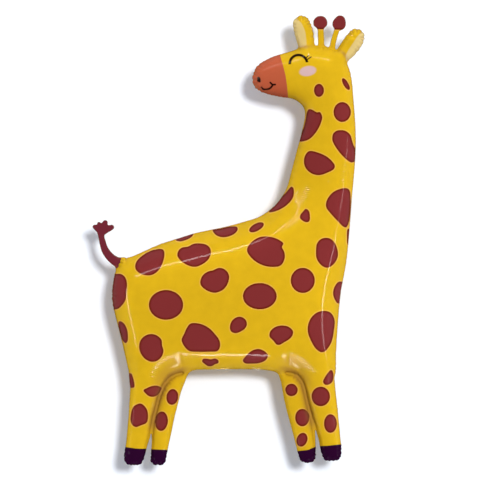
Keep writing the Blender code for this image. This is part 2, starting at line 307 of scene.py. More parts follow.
# Wrinkles. The film can't stretch, so where the rim bulges outwards it is gathered into small puckers
# that run in from the weld, and over the hollow corners it buckles in short folds. Each is a groove.
PUCKER_SPACING = 0.0088
PUCKER_DEPTH = 0.0021
PUCKER_REACH = 0.034          # of the longest
PUCKER_HALF_WIDTH = 0.0017    # of the narrowest
BEND_REACH = 4                # points of the rim to each side, over which its bend is measured
FULL_PUCKER_BEND = 0.050      # radius of the rim at which the puckers are deepest
RIM_DRAW = 1.3                # how far a pucker draws the rim in, as a share of its depth
RIM_DRAW_REACH = 0.016
WAVE_HEIGHT = 0.00035
WAVES = [(22, 3.0, WAVE_HEIGHT), (60, 5.0, WAVE_HEIGHT / 4)]    # how close, layer of the noise, height
RIM_BLEND = 0.0015            # beside the weld, in which wrinkles start and the billows of the flat film end
BILLOW_HEIGHT = 0.00012       # of the flat film
BILLOWS = [((210.0, 120.0), 0.0), ((-80.0, 280.0), 1.3)]        # how close each way, and start
dice = np.random.default_rng(11)

# Short folds at the corners of the belly and on the throat, as (start, end, half width, depth)
FOLDS = [
    ((-0.1206, -0.2530), (-0.1178, -0.2860), 0.0024, 0.0006),
    ((-0.1470, -0.2820), (-0.1365, -0.2950), 0.0022, 0.0007),
    ((0.1362, -0.2530), (0.1362, -0.2790), 0.0024, 0.0006),
    ((0.1640, -0.2860), (0.1560, -0.2960), 0.0022, 0.0007),
    ((-0.1124, -0.2500), (-0.1033, -0.2950), 0.0040, 0.0015),
    ((0.1387, -0.2500), (0.1387, -0.2950), 0.0040, 0.0015),
    ((0.1690, 0.3390), (0.1830, 0.3240), 0.0022, 0.0005),
    ((0.1911, 0.3363), (0.2006, 0.2994), 0.0022, 0.0005),
]
# Soft ridges where the film bends more sharply, on the head, the muzzle and behind the neck, as
# (start, end, half width, height)
RIDGES = [
    ((0.1432, 0.4217), (0.2518, 0.4047), 0.0050, 0.0003),
    ((0.0640, 0.3742), (0.1002, 0.4081), 0.0045, 0.0002),
    ((0.0821, 0.4013), (0.1319, 0.4104), 0.0045, 0.0002),
    ((0.0527, -0.0058), (0.1251, 0.0214), 0.0060, 0.0003),
    ((0.0980, 0.0101), (0.1613, 0.0598), 0.0060, 0.0003),
    ((0.1387, 0.0349), (0.1748, 0.1050), 0.0060, 0.0003),
]


def pucker_grooves():
    """Grooves that run in from the rim, deepest where it bulges most."""
    grooves = []
    for loop in pockets:
        reached = round_trip(loop)
        run = np.roll(loop, -BEND_REACH, axis=0) - np.roll(loop, BEND_REACH, axis=0)
        heading = np.unwrap(np.arctan2(run[:, 1], run[:, 0]))
        bend = -(np.roll(heading, -BEND_REACH) - np.roll(heading, BEND_REACH))
        bend = (bend + math.pi) % (2 * math.pi) - math.pi
        bend /= 2 * BEND_REACH * RIM_STEP
        ways = inward(loop)
        at = 0.0
        while at < reached[-1] - PUCKER_SPACING:
            k = int(np.searchsorted(reached, at))
            strength = min(max(bend[k] * FULL_PUCKER_BEND, 0.0), 1.0) ** 0.7 * dice.uniform(0.45, 1)
            # Straight and hollow stretches of the rim have a faint one here and there
            strength = max(strength, dice.uniform(-0.15, 0.16))
            turn = dice.normal(0, 0.16)
            way = ways[k] @ np.array([[math.cos(turn), math.sin(turn)], [-math.sin(turn), math.cos(turn)]])
            reach = PUCKER_REACH * (0.3 + 0.7 * strength) * dice.uniform(0.6, 1)
            if strength > 0.03:
                half_width = PUCKER_HALF_WIDTH + 0.0008 * dice.random()
                grooves.append((loop[k], loop[k] + way * reach, half_width, PUCKER_DEPTH * strength))
            at += PUCKER_SPACING * dice.uniform(0.6, 1.4)
    return grooves


def groove_field(points, grooves, from_rim):
    """How deep the grooves cut at each point. One from the rim widens and fades away from it."""
    field = np.zeros(len(points))
    for start, end, half_width, deepest in grooves:
        start, run = np.asarray(start), np.subtract(end, start)
        length = np.hypot(*run)
        near = np.flatnonzero(np.abs(points - start - run / 2).max(axis=1) < length / 2 + 4 * half_width)
        aside = points[near] - start
        t = aside @ run / length ** 2
        gap = (aside[:, 0] * run[1] - aside[:, 1] * run[0]) / length
        if from_rim:
            fade = np.clip(1 - np.maximum(t, 0), 0, 1) ** 1.5
            gap = gap / (1 + 0.6 * np.clip(t, 0, 1))
        else:
            fade = np.sin(math.pi * np.clip(t, 0, 1))
        field[near] += deepest * fade * np.exp(-(gap / half_width) ** 2)
    return field


def drawn_in(points, puckers):
    """How far the puckers draw the rim in at each point, as steps across and up."""
    steps = np.zeros_like(points)
    for start, end, half_width, deepest in puckers:
        way = (end - start) / np.hypot(*(end - start))
        near = np.flatnonzero(np.abs(points - start).max(axis=1) < RIM_DRAW_REACH + 4 * half_width)
        aside = points[near] - start
        gap = (aside[:, 0] * way[1] - aside[:, 1] * way[0]) / (1.1 * half_width)
        fade = np.clip(1 - np.abs(aside @ way) / RIM_DRAW_REACH, 0, 1)
        steps[near] += way * (RIM_DRAW * deepest * fade * np.exp(-gap ** 2))[:, None]
    return steps


def normals_of(points, faces):
    """Even normals at the corners of a mesh."""
    sides = points[faces]
    across = np.cross(sides[:, 1] - sides[:, 0], sides[:, 2] - sides[:, 0])
    total = np.zeros_like(points)
    for k in range(3):
        np.add.at(total, faces[:, k], across)
    return total / np.maximum(np.linalg.norm(total, axis=1), 1e-12)[:, None]


def soft_least(one, other, reach):
    """The lesser of two fields, rounded where they meet."""
    overlap = np.maximum(reach - np.abs(one - other), 0) / reach
    return np.minimum(one, other) - overlap ** 2 * reach / 4


def film_sheet(step, side, puckers):
    """Corners, faces and flat places of one sheet; side is 1 for the front and -1 for the back."""
    flat, faces = triangles(sheet_points(step))
    gas = rim.depth(flat)
    gas[len(outline):len(outline) + sum(map(len, pockets))] = 0
    gas = np.maximum(gas, 0)
    by_rim = read_smoothly(ratio_grid, flat, corner) * gas
    t = np.clip((gas / GRID_STEP - HAND_OVER) / HAND_OVER_WIDTH, 0, 1)
    square = by_rim + (read_smoothly(square_grid, flat, corner) - by_rim) * t * t * (3 - 2 * t)
    height = FILM_THICKNESS / 2 + np.sqrt(np.maximum(fullness * square, 0))
    if side < 0:
        height = soft_least(height, np.full(len(flat), seam), REST_ROUNDING)
    points = np.column_stack([flat, height])
    normals = normals_of(points, faces)
    cut = groove_field(flat, puckers, True)
    if side > 0:
        cut += groove_field(flat, FOLDS, False) - groove_field(flat, RIDGES, False)
    wave = sum(rise * np.array([noise.noise(Vector((x * pace, y * pace, side * layer))) for x, y in flat])
               for pace, layer, rise in WAVES)
    points += normals * ((wave - cut) * np.clip(gas / RIM_BLEND, 0, 1))[:, None]
    points[:, :2] += drawn_in(flat, puckers)
    if side < 0:
        points[:, 2] = np.minimum(points[:, 2], seam)
        faces = faces[:, ::-1]
    points[:, 2] *= side
    return points, faces, flat, gas


def build_film(name):
    """The two sheets as one closed mesh, and what the print needs to know at each of its corners."""
    puckers = pucker_grooves()
    front, front_faces, front_flat, front_gas = film_sheet(FRONT_STEP, 1, puckers)
    back, back_faces, back_flat, back_gas = film_sheet(BACK_STEP, -1, puckers)
    n, first = len(outline), len(front)
    k = np.arange(n)
    after = (k + 1) % n
    wall = np.concatenate([np.stack([k, first + k, first + after], axis=1),
                           np.stack([k, first + after, after], axis=1)])
    faces = np.concatenate([front_faces, back_faces + first, wall])
    points = np.vstack([front, back])
    flat = np.vstack([front_flat, back_flat])
    margin = np.maximum(edge.depth(flat), 0)
    margin[:n] = 0
    margin[first:first + n] = 0
    billow = sum(np.sin(flat @ np.array(way) + start) for way, start in BILLOWS)
    limp = np.clip(1 - np.concatenate([front_gas, back_gas]) / RIM_BLEND, 0, 1)
    points[:, 2] += seam + BILLOW_HEIGHT * billow * limp
    mesh = bpy.data.meshes.new(name)
    mesh.vertices.add(len(points))
    mesh.vertices.foreach_set("co", points.ravel())
    mesh.loops.add(faces.size)
    mesh.loops.foreach_set("vertex_index", faces.ravel())
    mesh.polygons.add(len(faces))
    mesh.polygons.foreach_set("loop_start", np.arange(0, faces.size, 3))
    mesh.update(calc_edges=True)
    mesh.shade_smooth()
    side = np.concatenate([np.ones(first), -np.ones(len(back))])
    return put_in_scene(name, mesh), flat, side, margin, puckers


balloon, flat, side, margin, puckers = build_film("giraffe_film")


# Print. The colours are rotogravure ink on the metal layer, under a clear gloss coat: yellow all over,
# red-brown spots, a terracotta muzzle, cream inner ears, dark hooves, and a face in thin dark lines.
# Over the print go painted brown shade in the creases and puckers, and a dark painted edge along the cut.
# Shapes are placed in squares of the print, counted from its upper left corner.
PRINT_SQUARE = 0.0022616
PRINT_LEFT = -0.5172
PRINT_TOP = 0.5438
PRINT_MIDDLE = (0.0256, 0.0010)
PRINT_DRAW = 0.083            # how much closer to that middle the print lies, for each metre of swelling
PATCH_REACH = 20.0            # how far round a shape distances are worked out, in squares

# Round and oval spots, as (across, down, half width, half height, turn in degrees)
OVAL_SPOTS = [
    (319, 90.3, 5, 6.6, 0), (346, 84, 6.8, 2.6, 60), (342.3, 112, 8.7, 10, 0), (256.5, 227.3, 8.2, 3.8, -28),
    (302.8, 280.4, 12.1, 12.6, 0), (166, 304.9, 17.2, 14.9, 0), (172.3, 397, 6, 8, 8),
    (161.4, 421.3, 6.5, 9.8, 5), (320.8, 396.5, 9.3, 9.8, 0), (330.5, 423.6, 6.5, 9.4, 0),
    (291.5, 390, 6.3, 6.3, 0), (302.3, 417.7, 7.2, 8.8, 0), (302, 439.8, 5.4, 7.2, 20),
    (259.8, 296.2, 16.9, 13.2, 0),
]

# Spots of other shapes, as points round them
SPOTS = [
    [(309, 109), (313, 110), (317, 112.3), (320, 112), (322.3, 117), (321, 123), (317, 131), (311, 138),
     (306, 140.7), (299, 141.2), (300, 136), (303.8, 127), (306, 117), (307, 112)],
    [(340, 130), (346, 131), (350.5, 135), (353, 143), (356, 151), (356, 160.5), (351.5, 162.5), (347, 160),
     (340, 153), (335, 146), (332.3, 140), (333, 134), (336, 131)],
    [(310, 150.8), (318, 152.5), (326, 156), (332, 161), (335, 166), (333.5, 169.5), (329, 172),
     (322, 174.7), (316, 175), (310, 172.5), (306, 168.5), (304, 163), (304.5, 157), (307, 152.5)],
    [(291.5, 186.5), (293.5, 188), (293.8, 195), (292, 199.5), (287, 205), (280, 209.5), (273, 212),
     (268.5, 212), (273.5, 205), (278.5, 199.5), (285.5, 193)],
    [(306, 208.7), (309, 211), (310, 216), (309.5, 221), (307, 222.3), (303, 221), (300, 218),
     (300.3, 215), (302.5, 212)],
    [(346, 188), (349.5, 190), (350.8, 197), (350.8, 207), (350, 217), (348.5, 224), (346, 227.5),
     (343, 226.5), (338, 221.5), (331, 214), (326.5, 208), (326, 203), (328, 198), (332, 193), (338, 189.5)],
    [(347.8, 229), (352, 229), (352, 246), (348, 245), (347, 238)],
    [(247, 249), (249, 245), (254, 240), (260, 237), (267, 236.5), (275, 238), (281, 241), (283.5, 243.5),
     (282, 247), (284, 251), (285, 256), (283.5, 262), (280, 266), (273, 267), (265, 266), (257, 262.5),
     (251, 257.5), (247.5, 252.5)],
    [(326, 237.8), (331, 239), (335.5, 244), (338, 252), (337.5, 258), (334, 264), (329, 267.5),
     (325, 267.5), (320, 264), (316.5, 258), (316, 250), (317, 243.5), (321, 239)],
    [(339.5, 281.5), (346, 283.5), (346, 301), (338, 303.5), (335, 300), (333, 294), (334, 288), (337, 283)],
    [(325, 310.8), (331, 313), (334.7, 320), (334, 331), (332, 341), (329, 347), (325, 351.5),
     (321, 352.3), (316, 349), (311.5, 342), (308, 333), (308, 325), (311, 318), (317, 312.5)],
    [(240, 316.7), (245, 319), (247, 323.5), (245.5, 328), (241, 331.5), (236, 333.3), (231.5, 332),
     (229.8, 328), (231, 322.5), (235, 318)],
    [(283, 325.5), (289, 327), (293, 331), (292.5, 335.5), (289, 339.5), (284, 342.5), (279.5, 345),
     (276.5, 344.5), (273.5, 341), (269.5, 336.5), (270, 332), (273.5, 328), (278, 326)],
    [(259, 349), (265, 351.5), (268, 355.5), (266, 360), (260, 363), (252, 363.8), (245, 363.3),
     (242.7, 360.5), (245, 357), (250, 352), (254, 349.8)],
    [(212.5, 230), (220, 228.5), (230, 226.5), (237, 227), (237.8, 229.5), (235, 233.5), (229, 236.5),
     (222, 237.3), (216.5, 235.5), (213.5, 232.5)],
    [(175.5, 240), (181, 241.3), (187, 239.5), (192, 236.5), (193.5, 233), (186, 230), (178, 234)],
    [(160, 248.7), (163.5, 250), (164.5, 255), (163, 262), (160, 268.5), (155, 273.5), (149, 275.5),
     (141, 274), (136, 270), (135, 266), (137, 260.5), (143, 255), (151, 250.5)],
    [(198, 243.3), (206, 244.5), (210, 248), (211, 253), (208, 260), (202, 264.5), (195, 267), (187, 265),
     (180, 260), (177.3, 255.5), (178.5, 250.5), (182, 247.5), (188, 246.5), (193, 244)],
    [(219, 267.8), (225, 269.5), (229, 275), (228.5, 281.5), (225, 288), (219, 292), (213, 292.7),
     (205, 289.5), (200.5, 284.5), (200.5, 280), (203, 275), (208, 271.5), (213, 270.3)],
    [(121, 274), (125, 277), (127, 283), (126.5, 292), (125.5, 300), (121.5, 306), (117, 309.3), (108, 308),
     (106, 291), (108, 277), (115, 274)],
    [(120, 321), (124, 323.5), (127, 329), (128, 336), (127.5, 341.5), (125.5, 343.3), (122.5, 340.5),
     (120, 333), (118.3, 326), (118.5, 322)],
    [(151, 334), (157, 335.5), (161.5, 340), (162, 345), (163.5, 351), (161.5, 357), (157, 361),
     (151, 361.8), (145, 359), (140.5, 353), (139, 346), (141, 339.5), (145.5, 335.5)],
    [(194, 323), (201, 324), (209, 328), (215, 334), (219.5, 340.5), (220, 347), (217.5, 351), (210, 351.8),
     (198, 352), (189, 351), (184, 346), (181.5, 340), (184, 334), (187, 327.5), (190, 323.8)],
    [(203, 359), (207, 358.7), (211, 359.3), (215, 358.5), (218.5, 360.5), (218.5, 363), (215, 364.5),
     (212, 366.3), (208, 366.3), (204.5, 364), (202, 361.5)],
    [(131, 373.5), (132.5, 376), (134.5, 385), (134, 387.5), (128, 387), (127, 374)],
    [(143.3, 390.3), (147, 388), (152, 386), (157, 385.7), (161.5, 388), (160, 392), (157, 395.5),
     (153, 397), (149, 396.3), (145.5, 393.5)],
    [(140.5, 403.5), (144.5, 406), (147.5, 411), (148, 418), (146.5, 423), (141, 425.5), (136, 427.2),
     (132.5, 425.5), (130.5, 421), (131, 413), (133, 407), (136.5, 404.5)],
    [(331.5, 369.7), (333, 372), (333.5, 378), (332, 382.5), (328, 385), (324.5, 384.5), (323, 381.5),
     (325, 377), (328.5, 372)],
]

# Patches with straight sides, which run off the film: tail, horn balls, muzzle, hooves and inner ears
TAIL_PATCH = [(121, 258.2), (117.2, 268.5), (88, 268), (88, 212), (121, 212)]
HORN_PATCHES = [[(312, 12), (329, 12), (329, 29.2), (312, 29.2)],
                [(331, 12), (349, 12), (349, 30.2), (331, 29.4)]]
MUZZLE_PATCH = [(280, 50), (280, 54.8), (283, 65), (285.5, 75), (287, 85), (288.2, 97.5), (288.5, 102),
                (244, 102), (244, 50)]
HOOF_PATCHES = [[(120, 446.6), (125.2, 447), (136, 448.6), (149.3, 449), (149.3, 470), (120, 470)],
                [(149.3, 449.2), (167.5, 450), (174, 450.3), (174, 470), (149.3, 470)],
                [(317.3, 446.4), (330, 445.6), (341.2, 444.3), (350, 443.5), (350, 470), (317.3, 470)],
                [(293, 452), (299, 451), (308, 450), (317.3, 446), (317.3, 470), (293, 470)]]
EAR_PATCHES = [[(297, 10), (297, 18.5), (301.5, 23), (304, 28), (305.5, 33), (306.3, 40), (306.5, 45),
                (303, 47), (298, 47.5), (288, 47.5), (288, 10)],
               [(366, 28), (362, 31.5), (357, 37), (352.5, 44), (348.5, 50), (345.5, 55.5), (346.5, 61),
                (349, 64), (370, 60), (370, 30)]]

# Painted brown shade beside the near legs, above them and at the foot of the ears, for the shade in the
# creases and on the slopes there, as (path, half width, strength)
PAINTED_SHADES = [
    ([(186, 362), (176, 363), (167, 369), (160, 379), (156, 389)], 6.0, 0.32),
    ([(281, 362), (291, 363), (299, 369), (305, 379), (308, 389)], 6.0, 0.32),
    ([(190, 370), (183, 370), (176, 371.5), (170, 375), (166, 380), (163.5, 387), (160, 395), (157, 403),
      (154.5, 412), (152.5, 422), (151.3, 433)], 4.0, 0.62),
    ([(278, 371), (284, 369), (290, 370), (295, 372), (299, 377), (302, 383), (304.5, 392), (307, 402),
      (309.5, 412), (312, 422), (314.5, 431)], 4.0, 0.58),
    ([(298, 47.5), (303, 47), (312, 46)], 1.6, 0.8),
    ([(339, 50), (344, 53.5), (347.5, 60.5)], 1.7, 0.8),
]

SHADE_FADE = 12               # in squares, at each end of a path
SHADE_AT_ENDS = 0.25          # what is left of it there
PAINTED_PUCKER_SHADE = 0.62           # painted shade: how much darker the bottom of a pucker is made at the rim
PAINTED_PUCKER_SHADE_REACH = 0.009

# Rows of fine buckles where the film is gathered over a hollow corner, as
# (path along the row, way across the folds in degrees, slope of their sides at its start and at its end,
# and how late it changes)
BUCKLE_ROWS = [
    ([(176, 354), (165, 358), (158, 364), (153, 372), (152, 379)], 69, 0.02, 0.515, 1.3),
    ([(291, 353), (300, 358), (305, 363), (317, 374)], 104, 0.05, 0.485, 1.6),
    ([(309, 186), (306.6, 192), (303.7, 201), (302, 206)], 82, 0.31, 0.085, 0.8),
    ([(344.5, 160), (343, 171), (342, 184)], 95, 0.25, 0.25, 1.0),
]
BUCKLE_SPACING = 0.0044
BUCKLE_REACH = 3.2            # to each side of the path, in squares
BUCKLE_FADE = 2               # at each end of the path, in squares


def on_print(points):
    """Places on the print, in its squares, across from the left and down from the top."""
    return (np.asarray(points) - (PRINT_LEFT, PRINT_TOP)) / (PRINT_SQUARE, -PRINT_SQUARE)


def patch_distance(places, shapes, curved):
    """Distance to the nearest of the shapes, in squares of the print, negative inside one."""
    nearest = np.full(len(places), PATCH_REACH)
    for shape in shapes:
        loop = smooth_round(shape, 6) if curved else np.array(shape, float)
        lowest, highest = loop.min(axis=0) - PATCH_REACH, loop.max(axis=0) + PATCH_REACH
        close = np.flatnonzero(((places > lowest) & (places < highest)).all(axis=1))
        if not len(close):
            continue
        x, y = places[close].T
        gap, inside = np.full(len(close), np.inf), np.zeros(len(close), bool)
        for (x0, y0), (x1, y1) in zip(loop, np.roll(loop, -1, axis=0)):
            run, rise = x1 - x0, y1 - y0
            t = np.clip(((x - x0) * run + (y - y0) * rise) / max(run ** 2 + rise ** 2, 1e-9), 0, 1)
            gap = np.minimum(gap, np.hypot(x - x0 - t * run, y - y0 - t * rise))
            spans = (y0 > y) != (y1 > y)
            inside ^= spans & ((x - x0) * rise * np.sign(rise) < (y - y0) * run * np.sign(rise))
        nearest[close] = np.minimum(nearest[close], np.where(inside, -gap, gap))
    return nearest


def oval_loop(across, down, half_width, half_height, turn):
    """Points round an oval."""
    turn = math.radians(turn)
    angles = np.arange(16) * math.pi / 8
    x, y = half_width * np.cos(angles), half_height * np.sin(angles)
    return np.stack([across + x * math.cos(turn) - y * math.sin(turn),
                     down + x * math.sin(turn) + y * math.cos(turn)], axis=1)


def beside_path(path):
    """How far each place lies from a path, its share of the way along, and its distance to an end."""
    aside, along = path_distance(places, np.array(path, float))
    whole = np.hypot(*np.diff(path, axis=0).T).sum()
    return aside, along / whole, np.minimum(along, whole - along)


def keep_on(mesh, name, values):
    """Values for each corner of the mesh, where the material can read them."""
    kind, field = ("FLOAT_VECTOR", "vector") if values.ndim == 2 else ("FLOAT", "value")
    layer = mesh.attributes.new(name, kind, "POINT")
    layer.data.foreach_set(field, values.astype(np.float32).ravel())


mesh = balloon.data
swell = np.abs(np.array([vertex.co.z for vertex in mesh.vertices]) - seam)[:, None]
places = on_print(PRINT_MIDDLE + (flat - PRINT_MIDDLE) * (1 + PRINT_DRAW * swell))
ovals = [oval_loop(*oval) for oval in OVAL_SPOTS]
keep_on(mesh, "print_place", np.column_stack([places, side]))
keep_on(mesh, "spot_distance", np.minimum(patch_distance(places, ovals + SPOTS, True),
                                          patch_distance(places, HORN_PATCHES, False)))
keep_on(mesh, "tail_distance", patch_distance(places, [TAIL_PATCH], False))
keep_on(mesh, "muzzle_distance", patch_distance(places, [MUZZLE_PATCH], False))
keep_on(mesh, "hoof_distance", patch_distance(places, HOOF_PATCHES, False))
keep_on(mesh, "ear_distance", patch_distance(places, EAR_PATCHES, False))
keep_on(mesh, "edge_distance", margin * 1000)
# Painted shade: brown laid along the creases and slopes beside the legs, at the foot of the ears and in the
# puckers
shade = np.zeros(len(flat))
for path, half_width, strength in PAINTED_SHADES:
    aside, _, to_end = beside_path(path)
    fade = np.clip(to_end / SHADE_FADE + SHADE_AT_ENDS, 0, 1)
    shade = np.maximum(shade, strength * fade * np.exp(-(aside / half_width) ** 2))
gathered = np.clip(groove_field(flat, puckers, True) / PUCKER_DEPTH, 0, 1)
shade = np.maximum(shade, PAINTED_PUCKER_SHADE * gathered * np.clip(1 - margin / PAINTED_PUCKER_SHADE_REACH, 0, 1))
keep_on(mesh, "painted_crease_shade", shade)
buckle_turn, buckle_height = np.zeros(len(flat)), np.zeros(len(flat))
for row, way, first_slope, last_slope, lateness in BUCKLE_ROWS:
    aside, share, to_end = beside_path(row)
    near = np.exp(-(aside / BUCKLE_REACH) ** 4) * np.clip(to_end / BUCKLE_FADE, 0, 1)
    slope = first_slope + (last_slope - first_slope) * np.clip(share, 0, 1) ** lateness
    across = flat @ (math.cos(math.radians(way)), math.sin(math.radians(way)))
    buckle_turn = np.where(aside < 3 * BUCKLE_REACH, across * 2 * math.pi / BUCKLE_SPACING, buckle_turn)
    buckle_height = np.maximum(buckle_height, near * slope * BUCKLE_SPACING / (2 * math.pi))
keep_on(mesh, "buckle_turn", buckle_turn)
keep_on(mesh, "buckle_height", buckle_height)


def ink(red, green, blue):
    """A colour as the material wants it, from its values of 0 to 255 on a screen."""
    return (*(((value / 255 + 0.055) / 1.055) ** 2.4 for value in (red, green, blue)), 1.0)


def add(tree, kind, sockets=(), **settings):
    """A new node, with each socket given a value or linked to the output that is given."""
    made = tree.nodes.new(kind)
    for name, value in settings.items():
        setattr(made, name, value)
    for name, value in dict(sockets).items():
        if isinstance(value, bpy.types.NodeSocket):
            tree.links.new(value, made.inputs[name])
        else:
            made.inputs[name].default_value = value
    return made


def maths(tree, operation, *values):
    """The output of a maths node on numbers or sockets."""
    return add(tree, "ShaderNodeMath", dict(enumerate(values)), operation=operation).outputs[0]


def vectors(tree, operation, *values, output="Vector"):
    """The output of a vector node."""
    return add(tree, "ShaderNodeVectorMath", dict(enumerate(values)), operation=operation).outputs[output]


def rescale(tree, value, start, end, low, high):
    """Values from start to end spread evenly from low to high."""
    return add(tree, "ShaderNodeMapRange", {0: value, 1: start, 2: end, 3: low, 4: high}).outputs[0]


def mix(tree, share, under, over, blend="MIX"):
    """A share of one colour over another."""
    return add(tree, "ShaderNodeMix", {0: share, 6: under, 7: over}, data_type="RGBA",
               blend_type=blend).outputs[2]


def cloudy(tree, place, scale, detail, roughness):
    """A noise texture, nearly all of which lies between NOISE_LOW and NOISE_HIGH."""
    return add(tree, "ShaderNodeTexNoise", {"Vector": place, "Scale": scale, "Detail": detail,
                                            "Roughness": roughness}).outputs[0]


def new_group(name, inputs, output, kind="NodeSocketFloat"):
    """An empty node group with named sockets, and its ends."""
    tree = bpy.data.node_groups.new(name, "ShaderNodeTree")
    for label, socket_kind in inputs.items():
        tree.interface.new_socket(label, in_out="INPUT", socket_type=socket_kind)
    tree.interface.new_socket(output, in_out="OUTPUT", socket_type=kind)
    return tree, tree.nodes.new("NodeGroupInput").outputs, tree.nodes.new("NodeGroupOutput").inputs


def use_group(tree, group, output, **sockets):
    """A group placed in a material with its own values."""
    values = {name.replace("_", " "): value for name, value in sockets.items()}
    return add(tree, "ShaderNodeGroup", values, node_tree=group).outputs[output]


NUMBER, VECTOR, COLOUR = "NodeSocketFloat", "NodeSocketVector", "NodeSocketColor"

# An ink over the one below it: full inside a shape, nothing outside, and soft at its edge
patch, given, out = new_group("Ink patch", {"Under": COLOUR, "Ink": COLOUR, "Distance": NUMBER,
                                            "Softness": NUMBER, "Strength": NUMBER}, "Colour", COLOUR)
share = maths(patch, "DIVIDE", given["Distance"], given["Softness"])
share = maths(patch, "MULTIPLY_ADD", share, -0.5, 0.5)
share = add(patch, "ShaderNodeMapRange", {0: share}, interpolation_type="SMOOTHSTEP").outputs[0]
share = maths(patch, "MULTIPLY", share, given["Strength"])
patch.links.new(mix(patch, share, given["Under"], given["Ink"]), out["Colour"])

# Distance to an arc of a circle that a straight line cuts off
arc, given, out = new_group("Arc mark", {"Place": VECTOR, "Centre": VECTOR, "Radius": NUMBER,
                                         "Half Width": NUMBER, "Cut Way": VECTOR, "Cut": NUMBER}, "Distance")
aside = vectors(arc, "SUBTRACT", given["Place"], given["Centre"])
off = maths(arc, "SUBTRACT", vectors(arc, "LENGTH", aside, output="Value"), given["Radius"])
off = maths(arc, "SUBTRACT", maths(arc, "ABSOLUTE", off), given["Half Width"])
past = vectors(arc, "DOT_PRODUCT", aside, given["Cut Way"], output="Value")
past = maths(arc, "SUBTRACT", past, given["Cut"])
arc.links.new(maths(arc, "MAXIMUM", off, past), out["Distance"])

# Distance to a straight stroke
stroke, given, out = new_group("Stroke mark", {"Place": VECTOR, "Start": VECTOR, "End": VECTOR,
                                               "Half Width": NUMBER}, "Distance")
run = vectors(stroke, "SUBTRACT", given["End"], given["Start"])
aside = vectors(stroke, "SUBTRACT", given["Place"], given["Start"])
t = maths(stroke, "DIVIDE", vectors(stroke, "DOT_PRODUCT", aside, run, output="Value"),
          vectors(stroke, "DOT_PRODUCT", run, run, output="Value"))
t = add(stroke, "ShaderNodeClamp", {0: t}).outputs[0]
scaled = add(stroke, "ShaderNodeVectorMath", {0: run, 3: t}, operation="SCALE").outputs[0]
off = vectors(stroke, "LENGTH", vectors(stroke, "SUBTRACT", aside, scaled), output="Value")
stroke.links.new(maths(stroke, "SUBTRACT", off, given["Half Width"]), out["Distance"])

# Distance to an oval
oval, given, out = new_group("Oval mark", {"Place": VECTOR, "Centre": VECTOR, "Long Way": VECTOR,
                                           "Short Way": VECTOR, "Half Width": NUMBER}, "Distance")
aside = vectors(oval, "SUBTRACT", given["Place"], given["Centre"])
long_share = vectors(oval, "DOT_PRODUCT", aside, given["Long Way"], output="Value")
short_share = vectors(oval, "DOT_PRODUCT", aside, given["Short Way"], output="Value")
round_share = maths(oval, "SQRT", maths(oval, "ADD", maths(oval, "POWER", long_share, 2.0),
                                        maths(oval, "POWER", short_share, 2.0)))
oval.links.new(maths(oval, "MULTIPLY", maths(oval, "SUBTRACT", round_share, 1.0), given["Half Width"]),
               out["Distance"])


YELLOW = ink(205, 163, 24)
SPOT_BROWN = ink(120, 43, 43)
SPOT_RIM = ink(98, 26, 8)
SPOT_HALO = ink(226, 166, 80)
TERRACOTTA = ink(177, 85, 56)
TAIL_BROWN = ink(106, 38, 48)
HOOF_PURPLE = ink(40, 6, 38)
EAR_CREAM = ink(207, 181, 114)
BLUSH_PINK = ink(200, 167, 166)
LINE_BLACK = ink(24, 5, 3)
# painted shade for the creases, the foot of the ears and the puckers, not an ink of the print
PAINTED_SHADE_BROWN = ink(144, 97, 60)
# bare metal along the cut edge, painted dark for the contact shadow and the dark reflection there
BARE_METAL_AND_EDGE_SHADE = ink(112, 98, 62)

# Marks of the face, in squares of the print. Ovals are given as (across, down, half length, half breadth,
# turn in degrees), arcs as (middle, radius, half width, way they are cut off, how far that way), and
# strokes as (start, end, half width).
BLUSH = (307.8, 71, 8.4, 4.9, -10)
NOSTRIL = (258.6, 79.8, 1.9, 3.2, -12)
EYELID = ((298.5, 63.6, 0), 8.7, 1.3, (0.115, 0.993, 0), -0.4)
SMILE = ((265.9, 82.3, 0), 7.2, 0.95, (-0.26, -0.966, 0), -3.6)
STROKES = [
    ((305.6, 58.4, 0), (308.8, 55.2, 0), 0.55),     # lashes
    ((307.2, 59.6, 0), (311.2, 56.9, 0), 0.55),
    ((270.3, 82.5, 0), (272.6, 84.7, 0), 0.9),      # the end of the smile
    ((272.6, 84.7, 0), (275.2, 84.5, 0), 0.9),
]
HALO_OUT = 0.7                # how far the pale halo reaches past a spot, in squares
SPOT_IN = 1.6                 # how wide the darker rim of a spot is
BARE_AND_SHADED_RIM = 0.8                # width of the bare metal edge, painted dark for its shadow and reflection, in millimetres

NOISE_LOW, NOISE_HIGH = 0.3, 0.7
MOTTLE_SCALE = 0.09           # of the uneven ink, for each square of the print
MOTTLE = (0.955, 1.03)        # shares of the ink's brightness
RIPPLE_SCALE = 0.22
RIPPLE_HEIGHT = 0.00022       # in the film under the ink
COAT_RIPPLE_HEIGHT = 0.00003  # in the clear coat
ROUGHNESS = (0.27, 0.37)
COAT = (0.02, 0.06)           # weight of the clear coat on the hooves, and elsewhere

film = bpy.data.materials.new("printed_film")
film.use_nodes = True
tree = film.node_tree
shader = tree.nodes["Principled BSDF"]


def stored(name, output="Fac"):
    """A value kept on the mesh."""
    return add(tree, "ShaderNodeAttribute", attribute_name=name).outputs[output]


def oval_mark(across, down, half_long, half_short, turn):
    """Distance to an oval on the print."""
    turn = math.radians(turn)
    return use_group(tree, oval, "Distance", Place=flat_place, Centre=(across, down, 0),
                     Long_Way=(math.cos(turn) / half_long, math.sin(turn) / half_long, 0),
                     Short_Way=(-math.sin(turn) / half_short, math.cos(turn) / half_short, 0),
                     Half_Width=min(half_long, half_short))


def arc_mark(centre, radius, half_width, cut_way, cut):
    """Distance to an arc on the print."""
    return use_group(tree, arc, "Distance", Place=flat_place, Centre=centre, Radius=radius,
                     Half_Width=half_width, Cut_Way=cut_way, Cut=cut)


